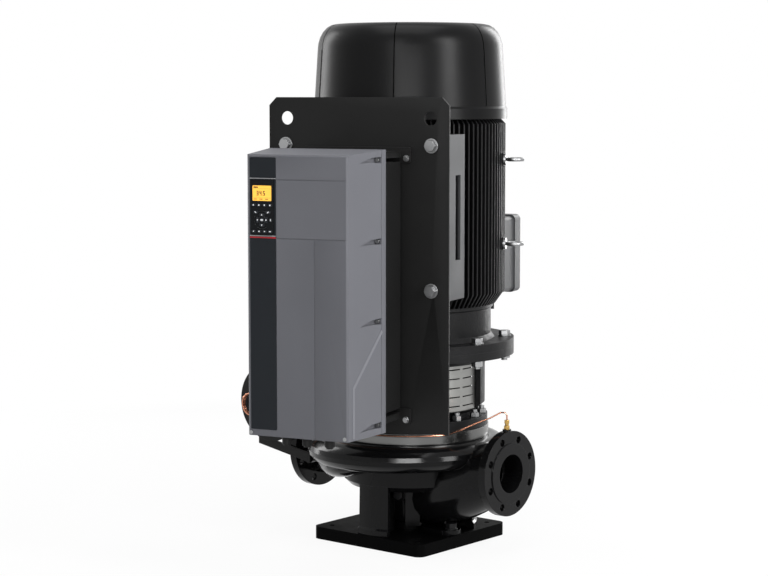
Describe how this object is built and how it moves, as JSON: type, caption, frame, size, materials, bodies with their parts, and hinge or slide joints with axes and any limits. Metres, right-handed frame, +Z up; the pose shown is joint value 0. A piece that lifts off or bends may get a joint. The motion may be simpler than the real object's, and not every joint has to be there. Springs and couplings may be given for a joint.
{
  "type": "in-line circulating pump",
  "caption": "Single-stage in-line centrifugal pump with a vertical fan-cooled motor, and a speed drive with keypad on a mounting plate.",
  "frame": {"origin": "centre of the base plate's underside, on the pump axis", "axes": "+X along the pipe axis towards the suction flange, +Z up along the shaft; the drive faces 15 degrees off -Y"},
  "size_m": [0.837, 1.0945, 1.358],
  "materials": {
    "black_gloss": "glossy black coat on cast iron",
    "black_paint": "satin black paint on cast iron",
    "black_cover": "satin black steel sheet",
    "black_texture": "finely textured black powder coat",
    "grey_paint": "satin grey paint",
    "drive_grey": "satin grey moulded cover",
    "strip_plastic": "dark satin plastic",
    "black_plastic": "black moulded plastic",
    "key_rubber": "dark soft keys",
    "display": "lit amber display window",
    "zinc": "zinc-plated steel",
    "turned_steel": "turned bare metal",
    "bright_sheet": "perforated bright steel sheet",
    "cast_grey": "bare grey iron",
    "winding": "laminations and varnished windings",
    "seal_carbon": "carbon seal face",
    "bronze": "cast bronze",
    "brass": "bright turned brass",
    "copper": "drawn copper pipe"
  },
  "bodies": {
    "pump": {"base_plate": "black_paint", "base_bolts": "zinc", "pump_housing": "black_gloss", "wear_ring": "turned_steel", "plugs": "zinc", "pump_head": "turned_steel", "head_studs": "zinc", "motor_stool": "black_paint", "coupling_guards": "bright_sheet", "motor_flange": "black_paint", "flange_bolts": "zinc", "motor_frame": "black_paint", "stator_core": "winding", "rear_shield": "black_paint", "bearings": "turned_steel", "fan_cover": "black_cover", "small_screws": "zinc", "terminal_box": "grey_paint", "terminal_box_lid": "grey_paint", "cable_glands": "black_plastic", "eye_bolts": "zinc", "side_brackets": "grey_paint", "bracket_bolts": "zinc", "mount_plate": "black_texture", "drive_heatsink": "black_texture", "drive_cover": "drive_grey", "control_strip": "strip_plastic", "drive_screws": "zinc", "keypad": "strip_plastic", "display": "display", "seal_seat": "seal_carbon", "brass_fittings": "brass", "impulse_pipe": "copper", "sensor_plate": "black_texture", "sensor_body": "turned_steel", "sensor_arm": "black_texture"},
    "rotor": {"motor_shaft": "turned_steel", "rotor_core": "turned_steel", "cooling_fan": "black_plastic", "coupling": "cast_grey", "pump_shaft": "turned_steel", "impeller": "bronze", "seal_rotor": "turned_steel"},
    "key_status": {"key_status": "key_rubber"},
    "key_menu": {"key_menu": "key_rubber"},
    "key_main": {"key_main": "key_rubber"},
    "key_log": {"key_log": "key_rubber"},
    "key_back": {"key_back": "key_rubber"},
    "key_cancel": {"key_cancel": "key_rubber"},
    "key_up": {"key_up": "key_rubber"},
    "key_left": {"key_left": "key_rubber"},
    "key_ok": {"key_ok": "key_rubber"},
    "key_right": {"key_right": "key_rubber"},
    "key_down": {"key_down": "key_rubber"},
    "key_info": {"key_info": "key_rubber"},
    "key_hand": {"key_hand": "key_rubber"},
    "key_off": {"key_off": "key_rubber"},
    "key_auto": {"key_auto": "key_rubber"},
    "key_reset": {"key_reset": "key_rubber"}
  },
  "joints": [
    {"name": "rotor_spin", "type": "hinge", "parent": "pump", "child": "rotor", "pos_m": [0, 0, 0.58], "axis": [0, 0, 1], "continuous": true},
    {"name": "key_status_press", "type": "slide", "parent": "pump", "child": "key_status", "axis": [-0.2588, 0.9659, 0], "range_m": [0, 0.001], "stiffness_N_per_m": 800, "springref_m": -0.001},
    {"name": "key_menu_press", "type": "slide", "parent": "pump", "child": "key_menu", "axis": [-0.2588, 0.9659, 0], "range_m": [0, 0.001], "stiffness_N_per_m": 800, "springref_m": -0.001},
    {"name": "key_main_press", "type": "slide", "parent": "pump", "child": "key_main", "axis": [-0.2588, 0.9659, 0], "range_m": [0, 0.001], "stiffness_N_per_m": 800, "springref_m": -0.001},
    {"name": "key_log_press", "type": "slide", "parent": "pump", "child": "key_log", "axis": [-0.2588, 0.9659, 0], "range_m": [0, 0.001], "stiffness_N_per_m": 800, "springref_m": -0.001},
    {"name": "key_back_press", "type": "slide", "parent": "pump", "child": "key_back", "axis": [-0.2588, 0.9659, 0], "range_m": [0, 0.001], "stiffness_N_per_m": 800, "springref_m": -0.001},
    {"name": "key_cancel_press", "type": "slide", "parent": "pump", "child": "key_cancel", "axis": [-0.2588, 0.9659, 0], "range_m": [0, 0.001], "stiffness_N_per_m": 800, "springref_m": -0.001},
    {"name": "key_up_press", "type": "slide", "parent": "pump", "child": "key_up", "axis": [-0.2588, 0.9659, 0], "range_m": [0, 0.001], "stiffness_N_per_m": 800, "springref_m": -0.001},
    {"name": "key_left_press", "type": "slide", "parent": "pump", "child": "key_left", "axis": [-0.2588, 0.9659, 0], "range_m": [0, 0.001], "stiffness_N_per_m": 800, "springref_m": -0.001},
    {"name": "key_ok_press", "type": "slide", "parent": "pump", "child": "key_ok", "axis": [-0.2588, 0.9659, 0], "range_m": [0, 0.001], "stiffness_N_per_m": 800, "springref_m": -0.001},
    {"name": "key_right_press", "type": "slide", "parent": "pump", "child": "key_right", "axis": [-0.2588, 0.9659, 0], "range_m": [0, 0.001], "stiffness_N_per_m": 800, "springref_m": -0.001},
    {"name": "key_down_press", "type": "slide", "parent": "pump", "child": "key_down", "axis": [-0.2588, 0.9659, 0], "range_m": [0, 0.001], "stiffness_N_per_m": 800, "springref_m": -0.001},
    {"name": "key_info_press", "type": "slide", "parent": "pump", "child": "key_info", "axis": [-0.2588, 0.9659, 0], "range_m": [0, 0.001], "stiffness_N_per_m": 800, "springref_m": -0.001},
    {"name": "key_hand_press", "type": "slide", "parent": "pump", "child": "key_hand", "axis": [-0.2588, 0.9659, 0], "range_m": [0, 0.001], "stiffness_N_per_m": 800, "springref_m": -0.001},
    {"name": "key_off_press", "type": "slide", "parent": "pump", "child": "key_off", "axis": [-0.2588, 0.9659, 0], "range_m": [0, 0.001], "stiffness_N_per_m": 800, "springref_m": -0.001},
    {"name": "key_auto_press", "type": "slide", "parent": "pump", "child": "key_auto", "axis": [-0.2588, 0.9659, 0], "range_m": [0, 0.001], "stiffness_N_per_m": 800, "springref_m": -0.001},
    {"name": "key_reset_press", "type": "slide", "parent": "pump", "child": "key_reset", "axis": [-0.2588, 0.9659, 0], "range_m": [0, 0.001], "stiffness_N_per_m": 800, "springref_m": -0.001}
  ]
}
